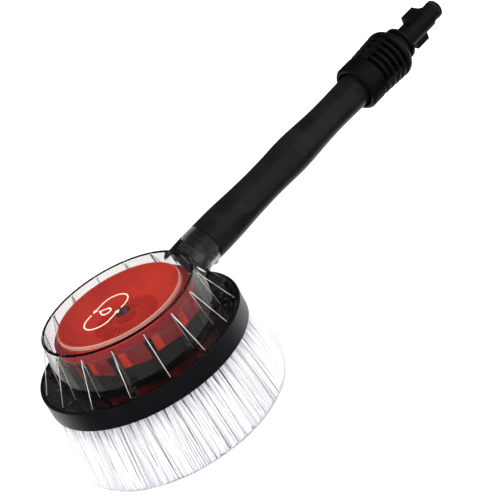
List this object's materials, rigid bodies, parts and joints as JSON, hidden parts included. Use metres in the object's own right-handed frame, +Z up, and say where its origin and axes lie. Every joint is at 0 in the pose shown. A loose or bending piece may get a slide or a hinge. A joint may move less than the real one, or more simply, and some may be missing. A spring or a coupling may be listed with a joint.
{
  "type": "rotary wash brush",
  "caption": "Water-driven rotary wash brush: clear cover with a red turbine, planetary gear, white bristle head, black handle, union nut and bayonet plug.",
  "frame": {"origin": "centre of the plane of the bristle tips, on the spin axis of the head", "axes": "+Z up along the spin axis, +X towards the handle"},
  "size_m": [0.4579, 0.17, 0.1393],
  "materials": {
    "clear_plastic": "gloss",
    "print_cream": "satin",
    "red_plastic": "gloss",
    "white_bristle": "satin",
    "black_plastic": "satin",
    "ring_plastic": "satin",
    "grip_plastic": "satin",
    "nut_plastic": "satin",
    "grey_plastic": "satin",
    "white_acetal": "satin",
    "black_rubber": "matte",
    "steel": "satin"
  },
  "bodies": {
    "housing": {"clear_cover": "clear_plastic", "cover_print": "print_cream", "cover_gasket": "black_rubber", "cover_screws": "steel", "gear_plate": "black_plastic", "upper_bush": "white_acetal", "lower_bush": "white_acetal", "planet_pins": "steel", "jet_nozzle": "grey_plastic", "handle_tube": "grip_plastic", "neck_o_rings": "black_rubber", "neck_screw": "steel", "inlet_filter": "grey_plastic", "union_seal": "black_rubber"},
    "brush_head": {"bristles": "white_bristle", "brush_plate": "black_plastic", "bumper_ring": "ring_plastic", "ring_gear": "black_plastic", "brush_bush": "white_acetal"},
    "turbine": {"turbine_wheel": "red_plastic", "spindle": "steel", "sun_gear": "white_acetal", "spindle_clip": "steel", "thrust_washer": "steel", "spindle_nut": "steel"},
    "planet_1": {"planet_gear_1": "white_acetal"},
    "planet_2": {"planet_gear_2": "white_acetal"},
    "planet_3": {"planet_gear_3": "white_acetal"},
    "plug": {"bayonet_plug": "nut_plastic", "nose_o_ring": "black_rubber", "snap_ring": "steel"},
    "nut": {"union_nut": "nut_plastic"}
  },
  "joints": [
    {"name": "brush_spin", "type": "hinge", "parent": "housing", "child": "brush_head", "pos_m": [0, 0, 0.058], "axis": [0, 0, 1], "continuous": true},
    {"name": "turbine_spin", "type": "hinge", "parent": "housing", "child": "turbine", "pos_m": [0, 0, 0.07], "axis": [0, 0, 1], "continuous": true},
    {"name": "planet_spin_1", "type": "hinge", "parent": "housing", "child": "planet_1", "pos_m": [0.02475, 0, 0.0593], "axis": [0, 0, 1], "continuous": true},
    {"name": "planet_spin_2", "type": "hinge", "parent": "housing", "child": "planet_2", "pos_m": [-0.01238, 0.02143, 0.0593], "axis": [0, 0, 1], "continuous": true},
    {"name": "planet_spin_3", "type": "hinge", "parent": "housing", "child": "planet_3", "pos_m": [-0.01238, -0.02143, 0.0593], "axis": [0, 0, 1], "continuous": true},
    {"name": "plug_travel", "type": "slide", "parent": "housing", "child": "plug", "axis": [0.9937, 0, 0.1125], "range_m": [0, 0.004]},
    {"name": "nut_turn", "type": "hinge", "parent": "plug", "child": "nut", "pos_m": [0.29809, 0, 0.11681], "axis": [0.9937, 0, 0.1125], "range_deg": [0, 720]}
  ],
  "couplings": [
    {"joint": "turbine_spin", "follows": "brush_spin", "ratio": -4.5},
    {"joint": "planet_spin_1", "follows": "brush_spin", "ratio": 2.5714},
    {"joint": "planet_spin_2", "follows": "brush_spin", "ratio": 2.5714},
    {"joint": "planet_spin_3", "follows": "brush_spin", "ratio": 2.5714},
    {"joint": "plug_travel", "follows": "nut_turn", "m_per_rad": 0.00031831}
  ]
}
